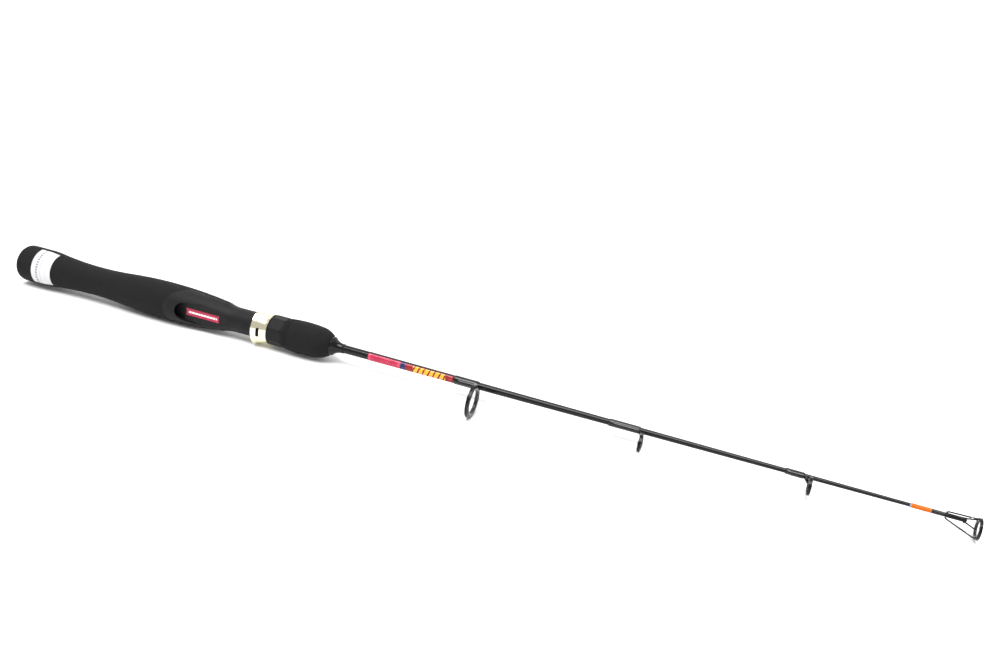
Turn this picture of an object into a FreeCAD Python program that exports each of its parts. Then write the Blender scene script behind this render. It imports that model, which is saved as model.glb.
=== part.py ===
import FreeCAD, Part

# Ice fishing rod with a spinning reel seat, in millimetres.
# The origin is the centre of the flat butt face, on the rod's axis.
# +X runs along the rod to its tip, -Y is the side that carries the reel and the line guides,
# and +Z is up when the rod lies on its handle.

import math
import os
import Sketcher
from FreeCAD import Placement, Rotation, Vector

SHEET_NAME = "dims"

# Driving dimensions. Names that end in _x are stations along the rod, and in _rad are radii.
CELLS = (
    # rear grip
    ("butt_rad", 12.95), ("butt_round", 4.0), ("butt_arc", 44.0),
    ("waist_x", 62.0), ("waist_rad", 10.2), ("waist_arc", 272.0),
    ("swell_x", 122.0), ("swell_rad", 13.05), ("grip_front_x", 168.5),
    ("grip_core_rad", 4.5), ("grip_core_x", 10.0), ("core_front_x", 110.0),
    # white label on the grip
    ("label_x", 15.2), ("label_length", 15.4), ("label_skin", 0.15),
    ("label_sweep", 127.0), ("label_start", 96.0),
    # reel seat
    ("seat_rear_x", 112.0), ("barrel_rad", 8.55), ("seat_bore_rad", 5.0),
    ("window_x", 125.5), ("window_half", 12.6),
    ("mouth_x", 141.2), ("pocket_depth", 15.0), ("pocket_rad", 6.8), ("pocket_axis", 5.2),
    ("pocket_floor", 7.2), ("foot_flat", 8.6), ("flat_front_x", 177.0),
    ("flat_rear_half", 6.5), ("flat_front_half", 10.5),
    ("collar_rad", 9.95), ("collar_front_x", 176.0), ("collar_arc", 30.0),
    ("step_x", 197.5), ("seat_front_x", 223.5),
    ("keyway_x", 174.0), ("keyway_half", 1.25), ("keyway_floor", 7.6),
    # screw thread of the seat and the nut
    ("thread_rad", 7.5), ("thread_depth", 0.7), ("pitch", 2.0), ("thread_x", 198.6),
    ("groove_half", 0.62), ("groove_foot", 0.27), ("thread_gap", 0.15), ("flank_gap", 0.17),
    ("thread_turns", 13.5), ("nut_turns", 3.5), ("nut_thread_x", 216.6),
    # red sticker on the seat
    ("sticker_x", 142.0), ("sticker_length", 25.4), ("sticker_half", 2.5),
    ("sticker_skin", 0.12), ("sticker_sink", 0.15),
    # moving hood
    ("hood_x", 194.0), ("hood_length", 10.3), ("hood_rad", 10.3), ("band_wall", 0.8),
    ("hood_mouth_rad", 12.6), ("mouth_foot_half", 9.9), ("hood_nose_rad", 9.8), ("nose_foot_half", 9.4),
    ("bulge_ear", 5.5), ("bulge_foot", 2.0),
    ("hood_pocket_depth", 7.6), ("hood_pocket_half", 6.3),
    ("slot_x", 197.5), ("slot_width", 2.0), ("slot_half", 3.05),
    ("slide_gap", 0.1), ("tail_length", 3.6), ("tail_wall", 0.35), ("key_sink", 0.2),
    ("snap_height", 0.3), ("snap_width", 0.8),
    # lock nut and foregrip
    ("end_gap", 0.3), ("nut_length", 10.4), ("nut_rad", 10.3), ("nut_flat", 9.75), ("nut_round", 1.0),
    ("nut_bore_rad", 8.75), ("sleeve_rad", 8.5), ("sleeve_front_x", 238.0), ("snap_wall", 0.1),
    ("foregrip_front_x", 248.7), ("foregrip_rear_rad", 10.2), ("foregrip_arc", 102.0),
    ("shoulder_x", 240.0), ("shoulder_rad", 10.4), ("nose_arc", 15.7), ("nose_rad", 6.3),
    ("foregrip_bore_rad", 3.6), ("bore_rear_x", 240.5),
    ("ring_line_x", 1.8), ("ring_line_width", 0.4),
    # winding check
    ("check_length", 8.6), ("check_rad", 6.2), ("check_neck", 0.35), ("check_lip", 1.1), ("check_arc", 9.0),
    # blank
    ("blank_rear_x", 10.0), ("blank_front_x", 643.0), ("blank_rad", 2.95),
    ("taper_x", 250.0), ("taper", 0.005),
    # bushings between the blank and the seat
    ("bushing_rear_x", 113.0), ("bushing_front_x", 206.0), ("bushing_length", 9.0),
    # printed sleeves on the blank
    ("decal_skin", 0.15), ("decal_x", 276.1), ("decal_red_length", 22.9), ("decal_band_length", 3.9),
    ("decal_gold_length", 32.8),
    # thread wraps
    ("wrap_skin", 0.45), ("tip_wrap_skin", 0.27), ("wrap_end", 0.8), ("wrap_lip", 0.1),
    ("ridge_rad", 1.7), ("ridge_cover", 0.4), ("ramp_rad", 1.2), ("ramp_length", 3.0),
    # tip wraps and tip-top
    ("trim_x", 613.6), ("orange_x", 614.6), ("black_x", 625.3), ("tube_x", 632.3), ("tube_front_x", 644.0),
    ("tube_rad", 1.35), ("tip_ring_x", 649.2), ("tip_ring_drop", 6.7), ("tip_ring_rad", 6.3),
    ("tip_holder_wall", 1.0), ("tip_insert_wall", 1.0), ("tip_ring_width", 1.6), ("wire_rad", 0.46),
    ("wire_end", 0.6), ("wire_bed", 0.08), ("leg_bend", 1.8), ("leg_rise", 0.7), ("leg_drop", 0.3),
    ("prong_length", 1.7), ("prong_angle", 32.0),
    # guide feet, legs and rings
    ("foot_thick", 0.6), ("foot_half", 0.8), ("foot_toe", 0.2), ("toe_length", 4.0), ("saddle_depth", 0.5),
    ("leg_thick", 0.9), ("bend_rear", 0.5), ("bend_front", 0.8), ("leg_spread", 0.42), ("leg_strip", 0.6),
    ("ring_land", 0.6), ("ring_edge", 0.55), ("ring_bulge", 1.1),
)

# Each line guide: wrap start and end, ring station, ring height over the axis, ring radius,
# holder wall, insert wall and holder width.
GUIDES = (
    ("guide_1", 336.0, 352.8, 357.0, 23.4, 10.6, 1.2, 2.3, 2.0),
    ("guide_2", 438.0, 458.0, 461.0, 17.0, 5.65, 0.75, 1.2, 1.6),
    ("guide_3", 544.5, 555.7, 558.5, 11.6, 5.45, 0.75, 1.15, 1.6),
)
GUIDE_SIZES = (
    "wrap_x", "wrap_front_x", "ring_x", "height", "ring_rad", "holder_wall", "insert_wall", "width")
AXES = {"XY": "XY_Plane", "XZ": "XZ_Plane", "YZ": "YZ_Plane"}
ROUND_END = 0.0001      # how much a half circle's radius exceeds half its chord
CLEAR = 2.0             # how far a cutting outline reaches past the material
SINK = 0.05             # how far a thread's tooth reaches into or out of its cylinder


class Size:
    """A length as both the expression that the document keeps and its number."""

    def __init__(self, text, number):
        self.text = text
        self.number = number

    def __add__(self, other):
        other = as_size(other)
        return Size("(%s + %s)" % (self.text, other.text), self.number + other.number)

    def __sub__(self, other):
        other = as_size(other)
        return Size("(%s - %s)" % (self.text, other.text), self.number - other.number)

    def __mul__(self, other):
        other = as_size(other)
        return Size("(%s * %s)" % (self.text, other.text), self.number * other.number)

    def __truediv__(self, other):
        other = as_size(other)
        return Size("(%s / %s)" % (self.text, other.text), self.number / other.number)

    def __neg__(self):
        return Size("(-%s)" % self.text, -self.number)


def as_size(value):
    if isinstance(value, Size):
        return value
    return Size(repr(float(value)), float(value))


def root(value):
    return Size("sqrt(%s)" % value.text, math.sqrt(value.number))


def cell(name):
    return Size("%s.%s" % (SHEET_NAME, name), float(sheet.get(name)))


def bind(thing, field, value):
    """Set a property and bind it to the sheet."""
    thing.setExpression(field, as_size(value).text)


# ---------------------------------------------------------------- document and helpers

doc = FreeCAD.newDocument("ice_fishing_rod")
sheet = doc.addObject("Spreadsheet::Sheet", SHEET_NAME)
sub_parts = []


def fill_sheet():
    """Write every driving dimension as a plain number with an alias."""
    cells = list(CELLS)
    for guide in GUIDES:
        for word, number in zip(GUIDE_SIZES, guide[1:]):
            cells.append(("%s_%s" % (guide[0], word), number))
    for row, (name, number) in enumerate(cells, start=1):
        sheet.set("A%d" % row, name.replace("_", " "))
        sheet.set("B%d" % row, str(number))
        sheet.setAlias("B%d" % row, name)
    doc.recompute()


def new_body(name):
    body = doc.addObject("PartDesign::Body", name)
    body.Label = name
    sub_parts.append(body)
    return body


def new_sketch(body, name, plane, lift=None):
    """A sketch on one of the body's own origin planes, lifted along the plane's normal."""
    sketch = body.newObject("Sketcher::SketchObject", name)
    for feature in body.Origin.OriginFeatures:
        if feature.Role == AXES[plane]:
            sketch.AttachmentSupport = [(feature, "")]
    sketch.MapMode = "FlatFace"
    if lift is not None:
        bind(sketch, "AttachmentOffset.Base.z", lift)
    return sketch


def pin_point(sketch, geometry, end, across, up):
    """Hold a point at sheet-bound distances from the sketch's origin."""
    for kind, value in (("DistanceX", across), ("DistanceY", up)):
        value = as_size(value)
        index = sketch.addConstraint(Sketcher.Constraint(kind, -1, 1, geometry, end, value.number))
        sketch.setExpression("Constraints[%d]" % index, value.text)


def draw_outline(sketch, corners):
    """A closed outline through its corners, anticlockwise.

    A third value on a corner is the radius of the arc to the next corner: positive bulges outwards.
    """
    ends = []
    for number, corner in enumerate(corners):
        first = [as_size(v) for v in corner[:2]]
        second = [as_size(v) for v in corners[(number + 1) % len(corners)][:2]]
        start = Vector(first[0].number, first[1].number, 0)
        stop = Vector(second[0].number, second[1].number, 0)
        if len(corner) == 2:
            index = sketch.addGeometry(Part.LineSegment(start, stop), False)
            ends.append((index, 1, 2))
        else:
            radius = as_size(corner[2])
            size = abs(radius.number)
            chord = stop - start
            rise = math.sqrt(size ** 2 - chord.Length ** 2 / 4)
            side = Vector(-chord.y, chord.x, 0).normalize() * math.copysign(rise, radius.number)
            centre = (start + stop) * 0.5 + side
            turn = [math.atan2(p.y - centre.y, p.x - centre.x) for p in (start, stop)]
            if radius.number < 0:
                turn.reverse()
            circle = Part.Circle(centre, Vector(0, 0, 1), size)
            index = sketch.addGeometry(Part.ArcOfCircle(circle, *turn), False)
            ends.append((index, 1, 2) if radius.number > 0 else (index, 2, 1))
            bound = sketch.addConstraint(Sketcher.Constraint("Radius", index, size))
            sketch.setExpression("Constraints[%d]" % bound, (radius if radius.number > 0 else -radius).text)
    for number, (index, begin, finish) in enumerate(ends):
        following = ends[(number + 1) % len(ends)]
        sketch.addConstraint(Sketcher.Constraint("Coincident", index, finish, following[0], following[1]))
        pin_point(sketch, index, begin, *corners[number][:2])


def draw_strip(sketch, start, length, half):
    """A rectangle that starts at a station and lies evenly to both sides of the first axis."""
    draw_outline(sketch, [(start, -half), (start + length, -half), (start + length, half), (start, half)])


def draw_circle(sketch, across, up, radius):
    across, up, radius = (as_size(v) for v in (across, up, radius))
    circle = Part.Circle(Vector(across.number, up.number, 0), Vector(0, 0, 1), radius.number)
    index = sketch.addGeometry(circle, False)
    bound = sketch.addConstraint(Sketcher.Constraint("Radius", index, radius.number))
    sketch.setExpression("Constraints[%d]" % bound, radius.text)
    pin_point(sketch, index, 3, across, up)


def turned(body, name, corners, cut=False):
    """Turn an outline in the XY plane about the rod's axis, to add or to cut."""
    sketch = new_sketch(body, name + "_outline", "XY")
    draw_outline(sketch, corners)
    feature = body.newObject("PartDesign::Groove" if cut else "PartDesign::Revolution", name)
    feature.Profile = (sketch, [""])
    feature.ReferenceAxis = (sketch, ["H_Axis"])
    feature.Angle = 360
    return feature


def bored(body, name, rear, front, radius):
    """A round hole along the rod's axis, right through what lies between two stations."""
    turned(body, name, [
        (rear - CLEAR, 0), (front + CLEAR, 0), (front + CLEAR, radius), (rear - CLEAR, radius)], cut=True)


def padded(body, name, sketch, length, both=False, backwards=False):
    feature = body.newObject("PartDesign::Pad", name)
    feature.Profile = (sketch, [""])
    bind(feature, "Length", length)
    feature.Midplane = both
    feature.Reversed = backwards
    return feature


def pocketed(body, name, sketch, length, both=False, backwards=False):
    """Cut a sketch away, and make sure that it takes material off."""
    doc.recompute()
    before = body.Shape.Volume
    feature = body.newObject("PartDesign::Pocket", name)
    feature.Profile = (sketch, [""])
    bind(feature, "Length", length)
    feature.Midplane = both
    feature.Reversed = backwards
    doc.recompute()
    if body.Shape.Volume > before - 0.01:
        raise RuntimeError("%s cuts nothing" % name)
    return feature


def helix(body, name, corners, turns, cut):
    """A right-hand screw groove or ridge about the rod's axis."""
    sketch = new_sketch(body, name + "_tooth", "XY")
    draw_outline(sketch, corners)
    feature = body.newObject("PartDesign::SubtractiveHelix" if cut else "PartDesign::AdditiveHelix", name)
    feature.Profile = (sketch, [""])
    feature.ReferenceAxis = (sketch, ["H_Axis"])
    feature.Mode = 1
    bind(feature, "Pitch", cell("pitch"))
    bind(feature, "Turns", turns)
    return feature


def blank_radius(station):
    """Radius of the blank at a station of its tapered part."""
    return cell("blank_rad") - (station - cell("taper_x")) * cell("taper")


# ---------------------------------------------------------------- rear grip and label

def swell_arc():
    """Radius of the swell, so that it runs smoothly into the waist."""
    rise = cell("swell_rad") - cell("waist_rad")
    run = cell("swell_x") - cell("waist_x")
    return (run * run + rise * rise) / (rise * 2) - cell("waist_arc")


def waist_to_swell():
    """The point where the waist's arc meets the swell's."""
    share = cell("waist_arc") / (cell("waist_arc") + swell_arc())
    across = cell("waist_x") + (cell("swell_x") - cell("waist_x")) * share
    return across, cell("waist_rad") + (cell("swell_rad") - cell("waist_rad")) * share


def butt_to_waist():
    """Where the straight butt ends, and where its rounding meets the waist's arc."""
    rise = cell("butt_rad") - cell("waist_rad")
    both = cell("butt_arc") + cell("waist_arc")
    run = root(rise * both * 2 - rise * rise)
    straight_end = cell("waist_x") - run
    share = cell("waist_arc") / both
    return straight_end, cell("waist_x") - run * share, cell("waist_rad") + rise * share


def swell_radius(station):
    """Outer radius of the handle on the swell's arc."""
    off = station - cell("swell_x")
    return cell("swell_rad") - swell_arc() + root(swell_arc() * swell_arc() - off * off)


def waist_radius(station):
    """Outer radius of the handle on the waist's arc."""
    off = station - cell("waist_x")
    return cell("waist_rad") + cell("waist_arc") - root(cell("waist_arc") * cell("waist_arc") - off * off)


def draw_window(sketch):
    """The opening in the grip on the reel's side: a round rear end, open to the front."""
    half = cell("window_half")
    centre = cell("window_x") + half
    front = cell("grip_front_x")
    draw_outline(sketch, [(front, half), (centre, half, half + ROUND_END), (centre, -half), (front, -half)])


def make_rear_grip():
    straight_end, joint_x, joint_rad = butt_to_waist()
    meet_x, meet_rad = waist_to_swell()
    body = new_body("rear_grip")
    turned(body, "grip_solid", [
        (cell("grip_front_x"), cell("barrel_rad")),
        (cell("grip_front_x"), swell_radius(cell("grip_front_x")), swell_arc()),
        (meet_x, meet_rad, -cell("waist_arc")),
        (joint_x, joint_rad, cell("butt_arc")),
        (straight_end, cell("butt_rad")),
        (cell("butt_round"), cell("butt_rad"), cell("butt_round")),
        (0, cell("butt_rad") - cell("butt_round")),
        (0, 0),
        (cell("grip_core_x"), 0),
        (cell("grip_core_x"), cell("grip_core_rad")),
        (cell("seat_rear_x"), cell("grip_core_rad")),
        (cell("seat_rear_x"), cell("barrel_rad")),
    ])
    sketch = new_sketch(body, "grip_window_outline", "XZ")
    draw_window(sketch)
    pocketed(body, "grip_window", sketch, cell("swell_rad") + 2, backwards=True)


def make_butt_label():
    """A thin label that follows the grip's surface part of the way round."""
    straight_end, joint_x, joint_rad = butt_to_waist()
    skin = cell("label_skin")
    front = cell("label_x") + cell("label_length")
    inner = [(cell("label_x"), cell("butt_rad")), (straight_end, cell("butt_rad")),
             (joint_x, joint_rad), (front, waist_radius(front))]
    body = new_body("butt_label")
    feature = turned(body, "label_strip", [
        inner[0],
        inner[1] + (-cell("butt_arc"),),
        inner[2] + (cell("waist_arc"),),
        inner[3],
        (inner[3][0], inner[3][1] + skin, -cell("waist_arc")),
        (inner[2][0], inner[2][1] + skin, cell("butt_arc")),
        (inner[1][0], inner[1][1] + skin),
        (inner[0][0], inner[0][1] + skin),
    ])
    bind(feature, "Angle", cell("label_sweep"))
    turn = cell("label_start").number
    body.Placement = Placement(Vector(0, 0, 0), Rotation(Vector(1, 0, 0), turn))


# ---------------------------------------------------------------- reel seat

def thread_slope():
    """How much a thread groove's half width grows for each millimetre outwards."""
    return (cell("groove_half") - cell("groove_foot")) / cell("thread_depth")


def make_seat_body():
    """Barrel, fixed hood with its pocket, flat for the reel's foot, keyway and thread in one moulding."""
    body = new_body("reel_seat_body")
    sketch = new_sketch(body, "cowl_outline", "XZ")
    draw_window(sketch)
    padded(body, "cowl", sketch, cell("swell_rad") + 2)
    outside = cell("swell_rad") + 9
    turned(body, "cowl_trim", [
        (cell("seat_rear_x"), outside),
        (cell("seat_rear_x"), swell_radius(cell("seat_rear_x")), -swell_arc()),
        (cell("collar_front_x"), swell_radius(cell("collar_front_x"))),
        (cell("collar_front_x"), outside),
    ], cut=True)
    root_rad = cell("thread_rad") - cell("thread_depth")
    turned(body, "barrel", [
        (cell("seat_rear_x"), 0),
        (cell("seat_front_x"), 0),
        (cell("seat_front_x"), root_rad),
        (cell("seat_front_x") - cell("thread_depth"), cell("thread_rad")),
        (cell("step_x"), cell("thread_rad")),
        (cell("step_x"), cell("barrel_rad")),
        (cell("collar_front_x"), cell("barrel_rad"), -cell("collar_arc")),
        (cell("grip_front_x"), cell("collar_rad")),
        (cell("grip_front_x"), cell("barrel_rad")),
        (cell("seat_rear_x"), cell("barrel_rad")),
    ])
    bored(body, "bore", cell("seat_rear_x"), cell("seat_front_x"), cell("seat_bore_rad"))
    cut_foot_flat(body)
    cut_hood_pocket(body)
    cut_keyway(body)
    cut_sticker_seat(body)
    start = cell("thread_x")
    top = cell("thread_rad") + SINK
    half = cell("groove_half") + thread_slope() * SINK
    helix(body, "seat_thread", [
        (start - cell("groove_foot"), root_rad),
        (start + cell("groove_foot"), root_rad),
        (start + half, top),
        (start - half, top),
    ], cell("thread_turns"), cut=True)


def cut_foot_flat(body):
    """The flat for the reel's foot. It leaves the fixed hood's round mouth and flares out forwards."""
    sketch = new_sketch(body, "foot_flat_outline", "XZ", cell("foot_flat"))
    rear, front = cell("flat_rear_half"), cell("flat_front_half")
    draw_outline(sketch, [(cell("mouth_x"), -rear), (cell("flat_front_x"), -front),
                          (cell("flat_front_x"), front), (cell("mouth_x"), rear, rear + ROUND_END)])
    pocketed(body, "foot_flat", sketch, cell("swell_rad"), backwards=True)


def cut_hood_pocket(body):
    """The fixed hood's arched pocket, which takes the rear end of the reel's foot."""
    sketch = new_sketch(body, "hood_pocket_outline", "YZ", cell("mouth_x"))
    rise = cell("pocket_floor") - cell("pocket_axis")
    half = root(cell("pocket_rad") * cell("pocket_rad") - rise * rise)
    floor = -cell("pocket_floor")
    top = -(cell("pocket_axis") + cell("pocket_rad"))
    draw_outline(sketch, [(floor, -half), (floor, half, cell("pocket_rad")), (top, 0, cell("pocket_rad"))])
    pocketed(body, "hood_pocket", sketch, cell("pocket_depth"))


def cut_keyway(body):
    """A groove on the side away from the reel, which keeps the moving hood from turning."""
    sketch = new_sketch(body, "keyway_outline", "XZ", -cell("keyway_floor"))
    draw_strip(sketch, cell("keyway_x"), cell("step_x") - cell("keyway_x") + CLEAR, cell("keyway_half"))
    pocketed(body, "keyway", sketch, cell("barrel_rad"))


def cut_sticker_seat(body):
    """A shallow bed for the sticker, so that it lies below the foot's flat."""
    sketch = new_sketch(body, "sticker_bed_outline", "XZ", cell("foot_flat") - cell("sticker_sink"))
    draw_strip(sketch, cell("sticker_x"), cell("sticker_length"), cell("sticker_half"))
    pocketed(body, "sticker_bed", sketch, cell("sticker_sink") + 1, backwards=True)


def make_sticker():
    body = new_body("seat_sticker")
    sketch = new_sketch(body, "sticker_outline", "XZ", cell("foot_flat") - cell("sticker_sink"))
    draw_strip(sketch, cell("sticker_x"), cell("sticker_length"), cell("sticker_half"))
    padded(body, "sticker_film", sketch, cell("sticker_skin"))


# ---------------------------------------------------------------- moving hood

def add_bulge(body, name, inset, cut=False):
    """The hood's flared pocket: a round roof on the reel's side that sinks into the ring forwards."""
    ear = cell("bulge_ear")
    sections = []
    for end, station, radius, foot_half in (
            ("mouth", cell("hood_x"), cell("hood_mouth_rad"), cell("mouth_foot_half")),
            ("nose", cell("hood_x") + cell("hood_length"), cell("hood_nose_rad"), cell("nose_foot_half"))):
        roof = radius - inset
        ear_half = root(roof * roof - ear * ear)
        half = foot_half - inset
        sketch = new_sketch(body, "%s_%s" % (name, end), "YZ", station)
        draw_outline(sketch, [
            (-cell("bulge_foot"), -half),
            (-cell("bulge_foot"), half),
            (-ear, ear_half, roof),
            (-ear, -ear_half),
        ])
        sections.append(sketch)
    feature = body.newObject("PartDesign::SubtractiveLoft" if cut else "PartDesign::AdditiveLoft", name)
    feature.Profile = sections[0]
    feature.Sections = sections[1:]
    feature.Ruled = True
    return feature


def rod_along(name, start, length, radius):
    """A cylinder on the rod's axis."""
    tube = doc.addObject("Part::Cylinder", name)
    bind(tube, "Radius", radius)
    bind(tube, "Height", length)
    tube.Placement = Placement(Vector(0, 0, 0), Rotation(Vector(0, 1, 0), 90))
    bind(tube, "Placement.Base.x", start)
    return tube


def taken_from(name, base, tool):
    cut = doc.addObject("Part::Cut", name)
    cut.Base = base
    cut.Tool = tool
    return cut


def joined(name, shapes):
    fuse = doc.addObject("Part::MultiFuse", name)
    fuse.Shapes = shapes
    return fuse


def make_hood_band():
    """The bright metal band, open at both ends, with a slot across the pocket's roof."""
    body = new_body("hood_band")
    rear = cell("hood_x")
    front = rear + cell("hood_length")
    inner = cell("hood_rad") - cell("band_wall")
    turned(body, "band_ring", [(rear, 0), (front, 0), (front, cell("hood_rad")), (rear, cell("hood_rad"))])
    add_bulge(body, "band_bulge", as_size(0))
    add_bulge(body, "band_hollow", cell("band_wall"), cut=True)
    bored(body, "band_bore", rear, front, inner)
    sketch = new_sketch(body, "band_slot_outline", "XZ", inner)
    draw_strip(sketch, cell("slot_x"), cell("slot_width"), cell("slot_half"))
    pocketed(body, "band_slot", sketch, cell("hood_mouth_rad"), backwards=True)


def make_hood_liner():
    """The plastic liner: it fills the band round the barrel, keys it to the barrel and hooks the nut."""
    body = new_body("hood_liner")
    rear = cell("hood_x")
    front = rear + cell("hood_length")
    tail = front + cell("tail_length")
    outer = cell("hood_rad") - cell("band_wall")
    bore_rad = cell("barrel_rad") + cell("slide_gap")
    tail_rad = bore_rad + cell("tail_wall")
    snap_rad = tail_rad + cell("snap_height")
    turned(body, "liner_solid", [
        (rear, 0),
        (tail, 0),
        (tail, snap_rad),
        (tail - cell("snap_width"), snap_rad),
        (tail - cell("snap_width"), tail_rad),
        (front, tail_rad),
        (front, outer),
        (rear, outer),
    ])
    add_bulge(body, "liner_bulge", cell("band_wall"))
    bored(body, "liner_bore", rear, tail, bore_rad)
    cut_liner_pocket(body, rear)
    sketch = new_sketch(body, "liner_key_outline", "XZ", -(cell("keyway_floor") + cell("slide_gap")))
    draw_strip(sketch, rear, cell("hood_length"), cell("keyway_half") - cell("slide_gap"))
    top = outer - cell("key_sink")
    padded(body, "liner_key", sketch, top - cell("keyway_floor") - cell("slide_gap"), backwards=True)


def cut_liner_pocket(body, rear):
    """Room in the liner for the front end of the reel's foot."""
    sketch = new_sketch(body, "liner_pocket_outline", "XZ", cell("bulge_ear"))
    draw_strip(sketch, rear - CLEAR, cell("hood_pocket_depth") + CLEAR, cell("hood_pocket_half"))
    pocketed(body, "liner_pocket", sketch, cell("hood_mouth_rad"), backwards=True)


# ---------------------------------------------------------------- lock nut and foregrip

def make_lock_nut():
    """The screw nut: an eight-sided collar, and a threaded sleeve that carries the foregrip."""
    rear = cell("hood_x") + cell("hood_length") + cell("end_gap")
    front = rear + cell("nut_length")
    bore = cell("thread_rad") + cell("thread_gap")
    inner = cell("nut_bore_rad")
    counter = cell("barrel_rad") + cell("slide_gap") + cell("tail_wall") + cell("snap_wall")
    groove = counter + cell("snap_height")
    hood_front = cell("hood_x") + cell("hood_length")
    snap_front = hood_front + cell("tail_length") + cell("snap_wall")
    snap_rear = snap_front - cell("snap_width") - cell("snap_wall") * 2
    shoulder = front - cell("nut_round")
    body = new_body("lock_nut")
    turned(body, "nut_solid", [
        (rear, counter),
        (snap_rear, counter),
        (snap_rear, groove),
        (snap_front, groove),
        (snap_front, inner),
        (shoulder, inner),
        (shoulder, bore),
        (cell("sleeve_front_x"), bore),
        (cell("sleeve_front_x"), cell("sleeve_rad")),
        (front, cell("sleeve_rad")),
        (front, cell("nut_rad") - cell("nut_round"), cell("nut_round")),
        (front - cell("nut_round"), cell("nut_rad")),
        (rear + cell("nut_round"), cell("nut_rad"), cell("nut_round")),
        (rear, cell("nut_rad") - cell("nut_round")),
    ])
    sketch = new_sketch(body, "nut_flat_outline", "XY")
    high = cell("nut_rad") + 2
    draw_outline(sketch, [(rear - 1, cell("nut_flat")), (front + 1, cell("nut_flat")),
                          (front + 1, high), (rear - 1, high)])
    flat = pocketed(body, "nut_flat", sketch, cell("nut_rad") * 2, both=True)
    flats = body.newObject("PartDesign::PolarPattern", "nut_flats")
    flats.Originals = [flat]
    flats.Axis = (sketch, ["H_Axis"])
    flats.Angle = 360
    flats.Occurrences = 8
    body.Tip = flats
    start = cell("nut_thread_x")
    tip_rad = cell("thread_rad") - cell("thread_depth") + cell("thread_gap")
    tip_half = cell("groove_foot") + thread_slope() * cell("thread_gap") - cell("flank_gap")
    base_half = tip_half + thread_slope() * (bore + SINK - tip_rad)
    helix(body, "nut_thread", [
        (start - tip_half, tip_rad),
        (start + tip_half, tip_rad),
        (start + base_half, bore + SINK),
        (start - base_half, bore + SINK),
    ], cell("nut_turns"), cut=False)


def make_foregrip():
    """The bullet-shaped foam grip, glued to the nut's sleeve and clear of the blank."""
    rear = cell("hood_x") + cell("hood_length") + cell("end_gap") + cell("nut_length")
    body = new_body("foregrip")
    turned(body, "foregrip_solid", [
        (rear, cell("sleeve_rad")),
        (cell("bore_rear_x"), cell("sleeve_rad")),
        (cell("bore_rear_x"), cell("foregrip_bore_rad")),
        (cell("foregrip_front_x"), cell("foregrip_bore_rad")),
        (cell("foregrip_front_x"), cell("nose_rad"), cell("nose_arc")),
        (cell("shoulder_x"), cell("shoulder_rad"), cell("foregrip_arc")),
        (rear, cell("foregrip_rear_rad")),
    ])
    for number in range(2):
        start = rear + cell("ring_line_x") * (number + 1)
        stop = start + cell("ring_line_width")
        floor = cell("foregrip_rear_rad")
        outside = cell("shoulder_rad") + CLEAR
        turned(body, "foregrip_line_%d" % (number + 1), [
            (start, floor), (stop, floor), (stop, outside), (start, outside)], cut=True)


def make_winding_check():
    """The trumpet-shaped ring that closes the front of the handle."""
    rear = cell("foregrip_front_x") + cell("end_gap")
    front = rear + cell("check_length")
    body = new_body("winding_check")
    turned(body, "check_solid", [
        (rear, cell("blank_rad")),
        (cell("taper_x"), cell("blank_rad")),
        (front, blank_radius(front)),
        (front, blank_radius(front) + cell("check_neck"), -cell("check_arc")),
        (rear + cell("check_lip"), cell("check_rad")),
        (rear, cell("check_rad")),
    ])


# ---------------------------------------------------------------- blank and what is round it

def make_blank():
    front = cell("blank_front_x")
    body = new_body("blank")
    turned(body, "blank_solid", [
        (cell("blank_rear_x"), 0),
        (front, 0),
        (front, blank_radius(front)),
        (cell("taper_x"), cell("blank_rad")),
        (cell("blank_rear_x"), cell("blank_rad")),
    ])


def make_ring(name, rear, front, inner, outer):
    """A plain sleeve between two stations and two radii."""
    body = new_body(name)
    turned(body, name + "_solid", [(rear, inner), (front, inner), (front, outer), (rear, outer)])


def make_taper_sleeve(name, rear, front, skin):
    """A sleeve of even thickness on the tapered blank."""
    body = new_body(name)
    turned(body, name + "_solid", [
        (rear, blank_radius(rear)),
        (front, blank_radius(front)),
        (front, blank_radius(front) + skin),
        (rear, blank_radius(rear) + skin),
    ])


def make_handle_core():
    """The tube that the rear grip is glued to, and the two bushings that centre the blank in the seat."""
    inner = cell("blank_rad")
    make_ring("handle_core", cell("grip_core_x"), cell("core_front_x"), inner, cell("grip_core_rad"))
    for end in ("rear", "front"):
        start = cell("bushing_%s_x" % end)
        make_ring("seat_bushing_" + end, start, start + cell("bushing_length"), inner, cell("seat_bore_rad"))


def make_decals():
    """Printed sleeves on the blank, one after another."""
    rear = cell("decal_x")
    for name in ("decal_red", "decal_band", "decal_gold"):
        front = rear + cell(name + "_length")
        make_taper_sleeve(name, rear, front, cell("decal_skin"))
        rear = front


# ---------------------------------------------------------------- line guides

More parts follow.
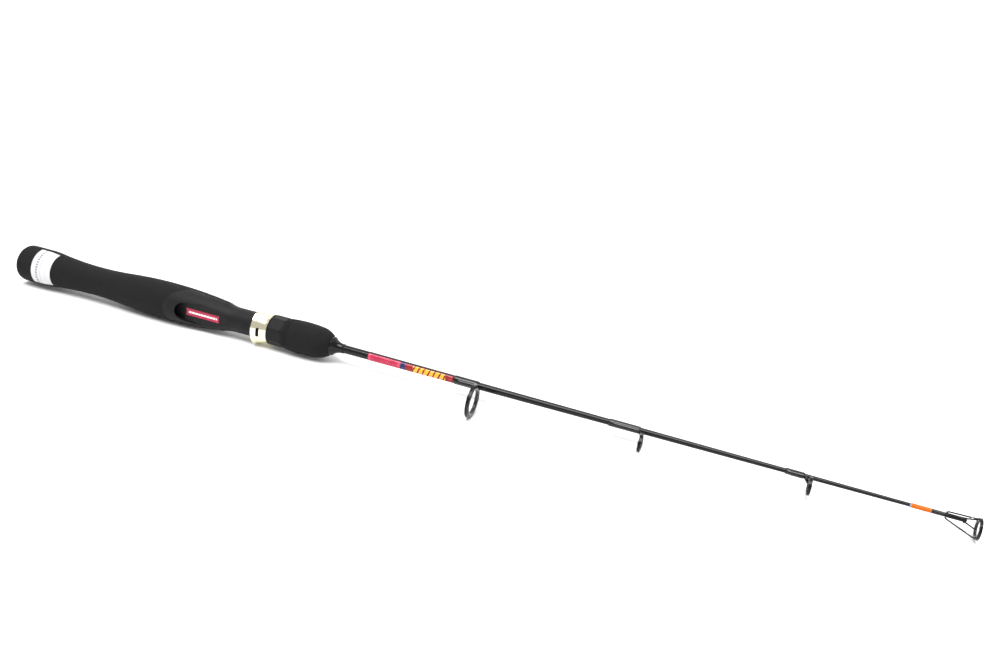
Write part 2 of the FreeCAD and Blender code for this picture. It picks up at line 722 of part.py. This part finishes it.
def make_guide_frame(guide):
    """A single-foot frame: foot on the blank, open leg, and the holder round the ring."""
    wrap_x, wrap_front_x, ring_x, height, ring_rad, holder_wall, insert_wall, width = (
        cell("%s_%s" % (guide, word)) for word in GUIDE_SIZES)
    name = guide + "_frame"
    foot_x = wrap_x + cell("wrap_end")
    base = blank_radius(foot_x)
    top = base + cell("foot_thick")
    seat = base - cell("saddle_depth")
    bend_x = wrap_front_x
    spread = ring_rad * cell("leg_spread")
    middle = spread - cell("leg_strip") / 2
    grip_rad = ring_rad - holder_wall / 2
    near = height - root(grip_rad * grip_rad - middle * middle)
    half_leg = cell("leg_thick") / 2
    body = new_body(name)
    side = new_sketch(body, name + "_side", "XY")
    draw_outline(side, [
        (foot_x, -base - cell("foot_toe")),
        (foot_x + cell("toe_length"), -top),
        (bend_x - cell("bend_rear"), -top),
        (ring_x - half_leg, -near),
        (ring_x + half_leg, -near),
        (bend_x + cell("bend_front"), -base),
        (bend_x + cell("bend_front"), -seat),
        (foot_x, -seat),
    ])
    padded(body, name + "_strip", side, ring_rad * 2, both=True)
    turned(body, name + "_saddle", [
        (foot_x - 1, 0),
        (ring_x, 0),
        (ring_x, blank_radius(ring_x)),
        (foot_x - 1, blank_radius(foot_x - 1)),
    ], cut=True)
    cut_leg_outline(body, name, top + cell("bend_front"), near, spread, ring_rad + CLEAR)
    front = new_sketch(body, name + "_holder_outline", "YZ", ring_x)
    draw_circle(front, -height, 0, ring_rad)
    draw_circle(front, -height, 0, ring_rad - holder_wall)
    padded(body, name + "_holder", front, width, both=True)


def cut_leg_outline(body, name, start, near, spread, wide):
    """Trim the folded strip to a foot, a leg that widens to the ring, and a window in the leg."""
    foot_half = cell("foot_half")
    outer = new_sketch(body, name + "_leg_sides", "YZ")
    for side in (1, -1):
        corners = [(1, foot_half * side), (-start, foot_half * side), (-near, spread * side),
                   (-near - CLEAR, spread * side), (-near - CLEAR, wide * side), (1, wide * side)]
        if side > 0:
            corners.reverse()
        draw_outline(outer, corners)
    pocketed(body, name + "_leg_trim", outer, cell("tip_ring_x") * 2, both=True)
    inner = new_sketch(body, name + "_window_outline", "YZ")
    half = spread - cell("leg_strip")
    foot = -start - cell("leg_strip") * 2
    draw_outline(inner, [(foot, 0), (-near, -half), (-near, half)])
    pocketed(body, name + "_window", inner, cell("tip_ring_x") * 2, both=True)


def make_ring_insert(name, ring_x, drop, outer, wall, width):
    """A hard polished ring with rounded faces, turned about its own axis."""
    body = new_body(name)
    sketch = new_sketch(body, name + "_section", "XY")
    half = width / 2
    land = cell("ring_land") / 2
    inner = outer - wall
    edge = wall * cell("ring_edge")
    bulge = half * cell("ring_bulge")
    draw_outline(sketch, [
        (ring_x - half, outer),
        (ring_x - half, inner + edge, bulge),
        (ring_x - land, inner),
        (ring_x + land, inner, bulge),
        (ring_x + half, inner + edge),
        (ring_x + half, outer),
    ])
    feature = body.newObject("PartDesign::Revolution", name + "_solid")
    feature.Profile = (sketch, [""])
    feature.ReferenceAxis = (sketch, ["H_Axis"])
    feature.Angle = 360
    bind(body, "Placement.Base.y", -drop)


def make_guide_wrap(guide):
    """Lacquered thread round the blank and over the guide's foot."""
    name = guide + "_wrap"
    rear = cell(guide + "_wrap_x")
    front = cell(guide + "_wrap_front_x")
    skin = cell("wrap_skin")
    end = cell("wrap_end")
    lip = cell("wrap_lip")
    coil = new_body(name + "_coil")
    sub_parts.remove(coil)
    turned(coil, name + "_turns", [
        (rear, 0),
        (front, 0),
        (front, blank_radius(front) + lip),
        (front - end, blank_radius(front) + skin),
        (rear + end, blank_radius(rear) + skin),
        (rear, blank_radius(rear) + lip),
    ])
    ridge_rad = cell("ridge_rad")
    depth = blank_radius(rear) + cell("foot_thick") + cell("ridge_cover") - ridge_rad
    ramp = doc.addObject("Part::Cone", name + "_ramp")
    bind(ramp, "Radius1", cell("ramp_rad"))
    bind(ramp, "Radius2", ridge_rad)
    bind(ramp, "Height", cell("ramp_length"))
    ramp.Placement = Placement(Vector(0, 0, 0), Rotation(Vector(0, 1, 0), 90))
    bind(ramp, "Placement.Base.x", rear + end)
    ridge_x = rear + end + cell("ramp_length")
    ridge = rod_along(name + "_ridge", ridge_x, front - end - ridge_x, ridge_rad)
    for piece in (ramp, ridge):
        bind(piece, "Placement.Base.y", -depth)
    solid = joined(name + "_solid", [coil, ramp, ridge])
    hollow = taken_from(name + "_hollow", solid, doc.getObject("blank"))
    wrap = taken_from(name, hollow, doc.getObject(guide + "_frame"))
    wrap.Label = name
    sub_parts.append(wrap)


def make_guides():
    for guide in (row[0] for row in GUIDES):
        make_guide_frame(guide)
        ring_rad = cell(guide + "_ring_rad")
        wall = cell(guide + "_holder_wall")
        make_ring_insert(guide + "_ring", cell(guide + "_ring_x"), cell(guide + "_height"), ring_rad - wall,
                         cell(guide + "_insert_wall"), cell(guide + "_width") + 0.5)
        make_guide_wrap(guide)


# ---------------------------------------------------------------- tip

def bent_wire(points, radius):
    """Round wire through points: straight lengths with a ball in each bend."""
    shapes = []
    for start, stop in zip(points, points[1:]):
        shapes.append(Part.makeCylinder(radius, (stop - start).Length, start, stop - start))
    for point in points[1:-1]:
        shapes.append(Part.makeSphere(radius, point))
    return shapes


def make_tip_frame():
    """Wire frame of the tip-top: a holder hoop, two long legs and a short fork, all brazed together."""
    (wire, tube, ring_x, drop, hoop, wall, width, rear, front, end, bed, bend, rise, fall, root_length) = (
        cell(name).number for name in (
            "wire_rad", "tube_rad", "tip_ring_x", "tip_ring_drop", "tip_ring_rad", "tip_holder_wall",
            "tip_ring_width", "tube_x", "tube_front_x", "wire_end", "wire_bed", "leg_bend", "leg_rise",
            "leg_drop", "prong_length"))
    along = Vector(1, 0, 0)
    face = ring_x - width / 2
    centre = Vector(face, -drop, 0)
    frame = Part.makeCylinder(hoop, width, centre, along)
    middle = hoop - wall / 2
    fork = math.radians(cell("prong_angle").number)
    for side in (1, -1):
        clear = tube + wire - bed
        leg = [Vector(rear + end, 0, side * clear), Vector(rear + bend, -fall, side * (clear + rise)),
               Vector(face - end, -drop, side * middle), Vector(ring_x, -drop, side * middle)]
        prong = [Vector(front - root_length, -wire, side * tube), Vector(front, -wire, side * tube),
                 Vector(face + wire, -drop + middle * math.cos(fork), side * middle * math.sin(fork))]
        frame = frame.fuse(bent_wire(leg, wire) + bent_wire(prong, wire))
    bore = Part.makeCylinder(hoop - wall, width + 4 * CLEAR, centre - along * 2 * CLEAR, along)
    barrel = Part.makeCylinder(tube, front - rear, Vector(rear, 0, 0), along)
    feature = doc.addObject("Part::Feature", "tip_top_frame")
    feature.Shape = frame.cut(bore).cut(barrel).removeSplitter()
    feature.Placement = Placement(Vector(0, 0, 0), Rotation())
    feature.Label = "tip_top_frame"
    sub_parts.append(feature)


def make_tip():
    for name, rear, front in (("tip_wrap_trim", cell("trim_x"), cell("orange_x")),
                              ("tip_wrap_orange", cell("orange_x"), cell("black_x")),
                              ("tip_wrap_black", cell("black_x"), cell("tube_x"))):
        make_taper_sleeve(name, rear, front, cell("tip_wrap_skin"))
    body = new_body("tip_top_tube")
    rear = cell("tube_x")
    end = cell("blank_front_x")
    front = cell("tube_front_x")
    turned(body, "tip_top_tube_solid", [
        (rear, blank_radius(rear)),
        (end, blank_radius(end)),
        (end, 0),
        (front, 0),
        (front, cell("tube_rad") - 0.3),
        (front - 0.3, cell("tube_rad")),
        (rear, cell("tube_rad")),
    ])
    make_tip_frame()
    make_ring_insert("tip_top_ring", cell("tip_ring_x"), cell("tip_ring_drop"),
                     cell("tip_ring_rad") - cell("tip_holder_wall"), cell("tip_insert_wall"),
                     cell("tip_ring_width"))


# ---------------------------------------------------------------- build, check and write

def check_document():
    """Stop if any object failed, or if a sub-part is missing, broken or not one solid."""
    for thing in doc.Objects:
        if "Invalid" in thing.State or "Error" in thing.State:
            raise RuntimeError("%s failed: %s" % (thing.Label, thing.State))
    for thing in sub_parts:
        shape = thing.Shape
        if shape.isNull() or not shape.isValid():
            raise RuntimeError("%s has no valid shape" % thing.Label)
        if len(shape.Solids) != 1:
            raise RuntimeError("%s has %d solids" % (thing.Label, len(shape.Solids)))


def write_parts():
    os.makedirs("parts", exist_ok=True)
    for thing in sub_parts:
        thing.Shape.exportStep(os.path.join("parts", thing.Label + ".step"))
        box = thing.Shape.BoundBox
        print("%-20s %9.1f mm3  x %6.1f..%6.1f  y %6.2f..%6.2f  z %6.2f..%6.2f" % (
            thing.Label, thing.Shape.Volume, box.XMin, box.XMax, box.YMin, box.YMax, box.ZMin, box.ZMax))


fill_sheet()
make_rear_grip()
make_butt_label()
make_handle_core()
make_seat_body()
make_sticker()
make_hood_band()
make_hood_liner()
make_lock_nut()
make_foregrip()
make_winding_check()
make_blank()
make_decals()
make_guides()
make_tip()
doc.recompute()
check_document()
write_parts()
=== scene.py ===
import math

import bpy
from mathutils import Matrix, Vector


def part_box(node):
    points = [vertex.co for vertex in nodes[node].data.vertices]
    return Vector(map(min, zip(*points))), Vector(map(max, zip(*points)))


# Ice fishing rod in a light tent. Lengths are in metres in the part's own frame:
# +X to the rod's tip, -Y the side of the reel seat and guides, +Z up.

MM = 0.001
CAMERA_LENS = 34.2
CAMERA_ROLL = 8.74
GRIP_SWELL = 122 * MM       # where the rear grip is thickest, along the rod
SHEET_SIZE = 80             # side of the floor and of the wall
WAVE_BANDS = 20 / math.tau  # bands to a metre that a wave texture draws at scale 1
THREAD_PITCH = 0.2 * MM
# Printed sleeves, as angles round the rod in radians and the lean of the strokes in metres a radian
STROKES = (-0.75, 0.95)
FILM = (-2.3, 1.05)
STROKE_LEAN = -1.1 * MM

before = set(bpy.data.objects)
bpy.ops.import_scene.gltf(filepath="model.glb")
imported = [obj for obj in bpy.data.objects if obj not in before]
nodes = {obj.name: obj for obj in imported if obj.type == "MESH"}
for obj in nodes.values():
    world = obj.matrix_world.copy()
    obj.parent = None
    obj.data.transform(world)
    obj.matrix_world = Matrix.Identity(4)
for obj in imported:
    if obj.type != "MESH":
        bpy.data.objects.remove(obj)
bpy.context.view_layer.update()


def low(node):
    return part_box(node)[0]


def high(node):
    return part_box(node)[1]


# ---------------------------------------------------------------- material helpers

class Look:
    """A procedural material under construction, in object coordinates."""

    def __init__(self, name, color, roughness, metallic=0.0, specular=0.35):
        self.material = bpy.data.materials.new(name)
        self.material.use_nodes = True
        self.tree = self.material.node_tree
        self.shader = self.tree.nodes["Principled BSDF"]
        self.shader.inputs["Base Color"].default_value = (*color, 1)
        self.shader.inputs["Roughness"].default_value = roughness
        self.shader.inputs["Metallic"].default_value = metallic
        self.shader.inputs["Specular IOR Level"].default_value = specular
        self.place = self.node("ShaderNodeTexCoord").outputs["Object"]

    def node(self, kind, **settings):
        made = self.tree.nodes.new(kind)
        for key, value in settings.items():
            setattr(made, key, value)
        return made

    def link(self, source, target):
        self.tree.links.new(source, target)

    def math(self, operation, first, second=0.0):
        made = self.node("ShaderNodeMath", operation=operation)
        for socket, value in zip(made.inputs, (first, second)):
            if isinstance(value, (int, float)):
                socket.default_value = value
            else:
                self.link(value, socket)
        return made.outputs[0]

    def axis(self, letter):
        split = self.node("ShaderNodeSeparateXYZ")
        self.link(self.place, split.inputs[0])
        return split.outputs[letter]

    def noise(self, size, detail=2.0, stretch=None):
        """Noise whose grains are about size metres across."""
        source = self.place
        if stretch:
            mapping = self.node("ShaderNodeMapping")
            mapping.inputs["Scale"].default_value = stretch
            self.link(source, mapping.inputs["Vector"])
            source = mapping.outputs[0]
        made = self.node("ShaderNodeTexNoise")
        made.inputs["Scale"].default_value = 1 / size
        made.inputs["Detail"].default_value = detail
        self.link(source, made.inputs["Vector"])
        return made.outputs["Fac"]

    def cells(self, size):
        """Distance to the nearest of points that lie about size metres apart."""
        made = self.node("ShaderNodeTexVoronoi")
        made.inputs["Scale"].default_value = 1 / size
        self.link(self.place, made.inputs["Vector"])
        return made.outputs["Distance"]

    def ramp(self, source, stops):
        made = self.node("ShaderNodeValToRGB")
        elements = made.color_ramp.elements
        while len(elements) < len(stops):
            elements.new(0.5)
        for element, (position, color) in zip(elements, stops):
            element.position = position
            element.color = (*color, 1)
        self.link(source, made.inputs[0])
        return made.outputs["Color"]

    def mix(self, share, first, second):
        made = self.node("ShaderNodeMix", data_type="RGBA")
        sockets = [s for s in made.inputs if s.type == "RGBA"]
        for socket, value in zip(sockets, (first, second)):
            if isinstance(value, tuple):
                socket.default_value = (*value, 1)
            else:
                self.link(value, socket)
        self.link(share, made.inputs[0])
        return [s for s in made.outputs if s.type == "RGBA"][0]

    def color(self, source):
        self.link(source, self.shader.inputs["Base Color"])

    def roughness(self, source, least, most):
        span = self.node("ShaderNodeMapRange")
        span.inputs["To Min"].default_value = least
        span.inputs["To Max"].default_value = most
        self.link(source, span.inputs["Value"])
        self.link(span.outputs[0], self.shader.inputs["Roughness"])

    def bump(self, source, depth, strength=1.0):
        made = self.node("ShaderNodeBump")
        made.inputs["Distance"].default_value = depth
        made.inputs["Strength"].default_value = strength
        self.link(source, made.inputs["Height"])
        self.link(made.outputs[0], self.shader.inputs["Normal"])


def dress(look, *names):
    """Give CAD nodes one material."""
    for name in names:
        thing = nodes[name]
        if not thing.material_slots:
            thing.data.materials.append(look.material)
        for material_slot in thing.material_slots:
            material_slot.material = look.material


# ---------------------------------------------------------------- materials

def foam_look():
    """Closed-cell foam, turned and ground: matt, with fine open pores."""
    look = Look("black_foam", (0.010, 0.010, 0.010), 0.9, specular=0.2)
    grain = look.noise(0.7 * MM, detail=4)
    look.color(look.ramp(grain, [(0.3, (0.005, 0.005, 0.005)), (0.7, (0.011, 0.011, 0.011))]))
    look.roughness(grain, 0.75, 0.92)
    look.bump(look.cells(0.55 * MM), 0.04 * MM, 0.6)
    return look


def plastic_look(name, dark, pale, roughness):
    """Moulded glass-filled nylon with a fine satin grain."""
    look = Look(name, dark, roughness, specular=0.16)
    grain = look.noise(0.35 * MM, detail=3)
    look.color(look.ramp(grain, [(0.25, dark), (0.75, pale)]))
    look.roughness(look.noise(2.5 * MM), roughness - 0.05, roughness + 0.07)
    look.bump(grain, 0.01 * MM, 0.5)
    return look


def gold_look():
    """Polished pale gold plating with faint turning lines round the band."""
    look = Look("pale_gold", (0.90, 0.85, 0.60), 0.12, metallic=1.0)
    lines = look.noise(0.25 * MM, stretch=(1.0, 0.05, 0.05))
    look.color(look.ramp(lines, [(0.3, (0.86, 0.81, 0.56)), (0.7, (0.94, 0.90, 0.68))]))
    look.roughness(lines, 0.10, 0.17)
    look.bump(lines, 0.002 * MM, 0.3)
    return look


def lacquer_look(name, dark=(0.003, 0.003, 0.003), pale=(0.006, 0.006, 0.006)):
    """Black blank under clear lacquer, with soft waves along it."""
    look = Look(name, dark, 0.1, specular=0.26)
    waves = look.noise(6 * MM, stretch=(0.3, 1.0, 1.0))
    look.color(look.ramp(waves, [(0.3, dark), (0.7, pale)]))
    look.roughness(waves, 0.06, 0.12)
    look.bump(waves, 0.02 * MM, 0.3)
    return look


def thread_look(name, dark, pale, specular):
    """Fine thread wound side by side, under clear lacquer."""
    look = Look(name, dark, 0.12, specular=specular)
    turns = look.node("ShaderNodeTexWave", wave_type="BANDS", bands_direction="X")
    turns.inputs["Scale"].default_value = 1 / (THREAD_PITCH * WAVE_BANDS)
    turns.inputs["Distortion"].default_value = 0.4
    look.link(look.place, turns.inputs["Vector"])
    look.color(look.ramp(turns.outputs["Fac"], [(0.0, dark), (1.0, pale)]))
    look.bump(turns.outputs["Fac"], 0.004 * MM, 0.3)
    return look


def enamel_look(name, dark, pale, roughness):
    """Black enamelled steel wire and strip."""
    look = Look(name, dark, roughness, specular=0.25)
    specks = look.noise(1.2 * MM, detail=3)
    look.color(look.ramp(specks, [(0.3, dark), (0.7, pale)]))
    look.roughness(specks, roughness - 0.06, roughness + 0.08)
    return look


def ceramic_look():
    """Polished black ceramic ring."""
    look = Look("black_ceramic", (0.015, 0.015, 0.016), 0.12, specular=0.35)
    specks = look.noise(0.5 * MM, detail=4)
    look.color(look.ramp(specks, [(0.3, (0.008, 0.008, 0.009)), (0.7, (0.022, 0.022, 0.024))]))
    look.roughness(specks, 0.08, 0.16)
    return look


def core_look():
    """Pale rigid foam that centres the blank inside the handle."""
    look = Look("core_foam", (0.35, 0.33, 0.28), 0.8)
    grain = look.noise(0.8 * MM, detail=3)
    look.color(look.ramp(grain, [(0.3, (0.30, 0.28, 0.23)), (0.7, (0.42, 0.40, 0.34))]))
    look.bump(grain, 0.05 * MM)
    return look


def dash_mask(look, across, along, pitch, share, wobble):
    """Short dashes of uneven length in a row, in place of lettering: 1 on a dash and 0 off it."""
    shifted = look.math("ADD", along, look.math("MULTIPLY", look.noise(3 * MM), wobble))
    wrapped = look.math("FRACT", look.math("DIVIDE", shifted, pitch))
    return look.math("MULTIPLY", look.math("LESS_THAN", wrapped, share), across)


def band_mask(look, source, start, stop):
    """1 where source lies between start and stop."""
    above = look.math("GREATER_THAN", source, start)
    return look.math("MULTIPLY", above, look.math("LESS_THAN", source, stop))


def around(look):
    """Angle round the rod in radians: 0 on the reel's side, positive towards the top."""
    return look.math("ARCTAN2", look.axis("Z"), look.math("MULTIPLY", look.axis("Y"), -1.0))


def label_look():
    """White film with two columns of blurred dashes that stand for print."""
    look = Look("white_label", (0.8, 0.8, 0.82), 0.35)
    rear = low("butt_label").x
    along = look.axis("X")
    arc = look.math("MULTIPLY", around(look), high("butt_label").z)
    wide = band_mask(look, along, rear + 3.6 * MM, rear + 5.4 * MM)
    narrow = band_mask(look, along, rear + 7.2 * MM, rear + 8.0 * MM)
    first = dash_mask(look, wide, arc, 1.9 * MM, 0.6, 1.4 * MM)
    second = dash_mask(look, narrow, arc, 1.2 * MM, 0.5, 0.8 * MM)
    paper = look.ramp(look.noise(4 * MM), [(0.3, (0.60, 0.60, 0.62)), (0.7, (0.68, 0.68, 0.69))])
    once = look.mix(first, paper, (0.22, 0.22, 0.25))
    look.color(look.mix(second, once, (0.40, 0.40, 0.45)))
    return look


def sticker_look():
    """Red film with a broken white line along its middle."""
    look = Look("red_sticker", (0.7, 0.05, 0.12), 0.35)
    along = look.axis("X")
    across = look.axis("Z")
    film = look.ramp(look.noise(3 * MM), [(0.3, (0.33, 0.010, 0.035)), (0.7, (0.46, 0.02, 0.07))])
    ends = band_mask(look, along, low("seat_sticker").x + 1.6 * MM, high("seat_sticker").x - 1.4 * MM)
    line = look.math("MULTIPLY", band_mask(look, across, -0.7 * MM, 0.6 * MM), ends)
    look.color(look.mix(dash_mask(look, line, along, 2.3 * MM, 0.86, 1.5 * MM), film, (0.9, 0.85, 0.86)))
    return look


def decal_look(name, dark, pale, mark, pitch, share, rim):
    """Printed film under clear lacquer, with abstract strokes in place of lettering.

    The film covers the side that faces the reel and leaves the blank's black showing along the top.
    """
    look = Look(name, dark, 0.12)
    along = look.axis("X")
    angle = around(look)
    ground = look.ramp(look.noise(5 * MM), [(0.3, dark), (0.7, pale)])
    inside = band_mask(look, along, low(name).x + rim, high(name).x - rim)
    row = look.math("MULTIPLY", band_mask(look, angle, *STROKES), inside)
    slant = look.math("ADD", along, look.math("MULTIPLY", angle, STROKE_LEAN))
    printed = look.mix(dash_mask(look, row, slant, pitch, share, 1.6 * MM), ground, mark)
    film = band_mask(look, angle, *FILM)
    look.color(look.mix(film, (0.008, 0.008, 0.009), printed))
    return look


dress(foam_look(), "rear_grip", "foregrip")
dress(plastic_look("seat_plastic", (0.007, 0.007, 0.0075), (0.012, 0.012, 0.013), 0.5), "reel_seat_body")
dress(plastic_look("nut_plastic", (0.006, 0.006, 0.0065), (0.010, 0.010, 0.011), 0.48), "lock_nut")
dress(plastic_look("liner_plastic", (0.006, 0.005, 0.011), (0.012, 0.010, 0.018), 0.45), "hood_liner")
dress(gold_look(), "hood_band")
dress(core_look(), "handle_core", "seat_bushing_rear", "seat_bushing_front")
dress(label_look(), "butt_label")
dress(sticker_look(), "seat_sticker")
dress(lacquer_look("gloss_black"), "winding_check")
dress(lacquer_look("blank_lacquer"), "blank")
for name, dark, pale, mark, pitch, share, rim in (
        ("decal_red", (0.50, 0.035, 0.09), (0.62, 0.06, 0.13), (0.36, 0.01, 0.04), 1.3, 0.55, 2),
        ("decal_band", (0.030, 0.020, 0.11), (0.055, 0.040, 0.17), (0.012, 0.012, 0.03), 1.8, 0.5, 0.2),
        ("decal_gold", (0.20, 0.008, 0.012), (0.36, 0.015, 0.018), (0.75, 0.42, 0.03), 3.6, 0.66, 5)):
    dress(decal_look(name, dark, pale, mark, pitch * MM, share, rim * MM), name)
dress(thread_look("black_thread", (0.002, 0.002, 0.002), (0.006, 0.006, 0.007), 0.42),
      "guide_1_wrap", "guide_2_wrap", "guide_3_wrap", "tip_wrap_black")
dress(thread_look("orange_thread", (0.40, 0.075, 0.001), (0.68, 0.16, 0.003), 0.2), "tip_wrap_orange")
dress(thread_look("silver_thread", (0.10, 0.07, 0.13), (0.45, 0.38, 0.50), 0.4), "tip_wrap_trim")
dress(enamel_look("black_metal", (0.001, 0.001, 0.001), (0.004, 0.004, 0.005), 0.2),
      "guide_1_frame", "guide_2_frame", "guide_3_frame", "tip_top_frame", "tip_top_tube")
dress(ceramic_look(), "guide_1_ring", "guide_2_ring", "guide_3_ring", "tip_top_ring")


# ---------------------------------------------------------------- stage, light and camera

def ground():
    """The rod lies on its grip's swell and on its first guide: height and slope of the plane they rest on."""
    near = low("rear_grip").z
    far = low("guide_1_frame").z
    return near, math.atan2(far - near, high("guide_1_frame").x - GRIP_SWELL)


def make_sheet(name, place, turn, look):
    bpy.ops.mesh.primitive_plane_add(size=SHEET_SIZE)
    sheet = bpy.context.object
    sheet.name = name
    sheet.location = place
    sheet.rotation_euler = turn
    sheet.data.materials.append(look.material)


def make_stage():
    """White floor and a wall far behind, so that the picture's background has no edge."""
    look = Look("paper_backdrop", (0.94, 0.94, 0.94), 0.95, specular=0.0)
    look.color(look.ramp(look.noise(0.4), [(0.3, (0.935, 0.935, 0.935)), (0.7, (0.945, 0.945, 0.945))]))
    height, slope = ground()
    make_sheet("floor", (GRIP_SWELL, 0, height), (0, -slope, 0), look)
    make_sheet("wall", (GRIP_SWELL, 3.5, 0), (math.radians(90), 0, 0), look)


def make_lights():
    """A broad soft light nearly overhead, a little towards the camera, inside a dim even tent."""
    place = Vector((0.20, -0.45, 1.20))
    target = Vector((0.30, 0, 0))
    lamp = bpy.data.lights.new("key", "SUN")
    lamp.energy = 3.4
    lamp.angle = math.radians(40)
    key = bpy.data.objects.new("key", lamp)
    key.location = place
    key.rotation_euler = (place - target).to_track_quat("Z", "Y").to_euler()
    bpy.context.collection.objects.link(key)
    world = bpy.data.worlds.new("tent")
    world.use_nodes = True
    world.node_tree.nodes["Background"].inputs["Color"].default_value = (1, 1, 1, 1)
    world.node_tree.nodes["Background"].inputs["Strength"].default_value = 0.6
    bpy.context.scene.world = world
    bpy.context.scene.view_settings.view_transform = "Standard"


def make_camera():
    """A camera in front of the rod and above it, turned towards the butt and rolled a little."""
    place = Vector((0.5095, -0.5267, 0.2486))
    target = Vector((0.3610, -0.0003, 0.0410))
    roll = math.radians(CAMERA_ROLL)
    forward = (target - place).normalized()
    level = forward.cross(Vector((0, 0, 1))).normalized()
    lift = level.cross(forward)
    right = level * math.cos(roll) + lift * math.sin(roll)
    up = right.cross(forward)
    data = bpy.data.cameras.new("camera")
    data.sensor_width = 36
    data.lens = CAMERA_LENS
    thing = bpy.data.objects.new("camera", data)
    turn = Matrix((right, up, -forward)).transposed().to_4x4()
    thing.matrix_world = Matrix.Translation(place) @ turn
    bpy.context.collection.objects.link(thing)
    bpy.context.scene.camera = thing


make_stage()
make_lights()
make_camera()
